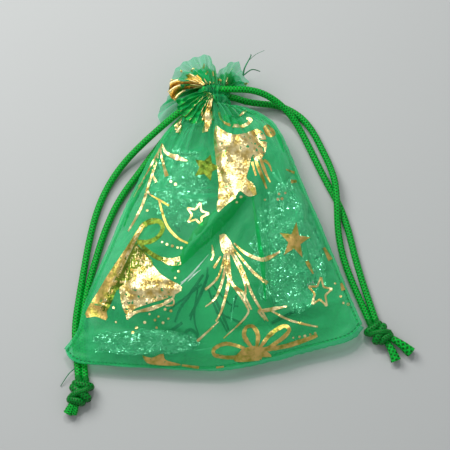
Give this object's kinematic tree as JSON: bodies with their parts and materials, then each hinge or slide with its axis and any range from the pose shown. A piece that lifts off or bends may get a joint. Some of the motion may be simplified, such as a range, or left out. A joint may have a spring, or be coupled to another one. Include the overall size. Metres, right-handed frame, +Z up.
{
  "type": "sheer drawstring gift sack",
  "caption": "Small sheer sack for gifts, gathered shut at a frilled neck by paired drawstrings with knotted ends, lying filled on its back.",
  "frame": {"origin": "centre of the sack and frill's footprint, on the surface that the sack lies on, without the free cords", "axes": "+X across the sack, +Y from the bottom seam to the frill, +Z up from the surface through the front panel"},
  "size_m": [0.1205, 0.1275, 0.019],
  "materials": {
    "sheer_cloth": "sheer plain-weave polyester with a light sheen",
    "sewing_thread": "spun polyester thread",
    "clear_film": "crumpled clear film, glossy",
    "satin_cord": "braided satin cord with a bright sheen",
    "gold_foil": "hot-stamped gold foil print, bright and slightly crinkled"
  },
  "bodies": {
    "sack": {"front_panel": "sheer_cloth", "back_panel": "sheer_cloth", "left_side_seam": "sheer_cloth", "right_side_seam": "sheer_cloth", "bottom_seam": "sheer_cloth", "neck_casing_front": "sheer_cloth", "neck_casing_back": "sheer_cloth", "casing_stitch_lower": "sewing_thread", "casing_stitch_upper": "sewing_thread", "header_frill_front": "sheer_cloth", "header_frill_back": "sheer_cloth", "film_filler_left": "clear_film", "film_filler_right": "clear_film", "film_filler_bottom": "clear_film", "left_channel_run": "satin_cord", "right_channel_run": "satin_cord"},
    "left_drawstring": {"left_front_strand": "satin_cord", "left_back_strand": "satin_cord", "left_knot": "satin_cord", "left_tail_ends": "satin_cord"},
    "right_drawstring": {"right_front_strand": "satin_cord", "right_back_strand": "satin_cord", "right_knot": "satin_cord", "right_tail_inner": "satin_cord", "right_tail_outer": "satin_cord"}
  },
  "joints": [
    {"name": "left_drawstring_slide", "type": "slide", "parent": "sack", "child": "left_drawstring", "axis": [-1, 0, 0], "range_m": [0, 0.004]},
    {"name": "right_drawstring_slide", "type": "slide", "parent": "sack", "child": "right_drawstring", "axis": [1, 0, 0], "range_m": [0, 0.004]}
  ]
}
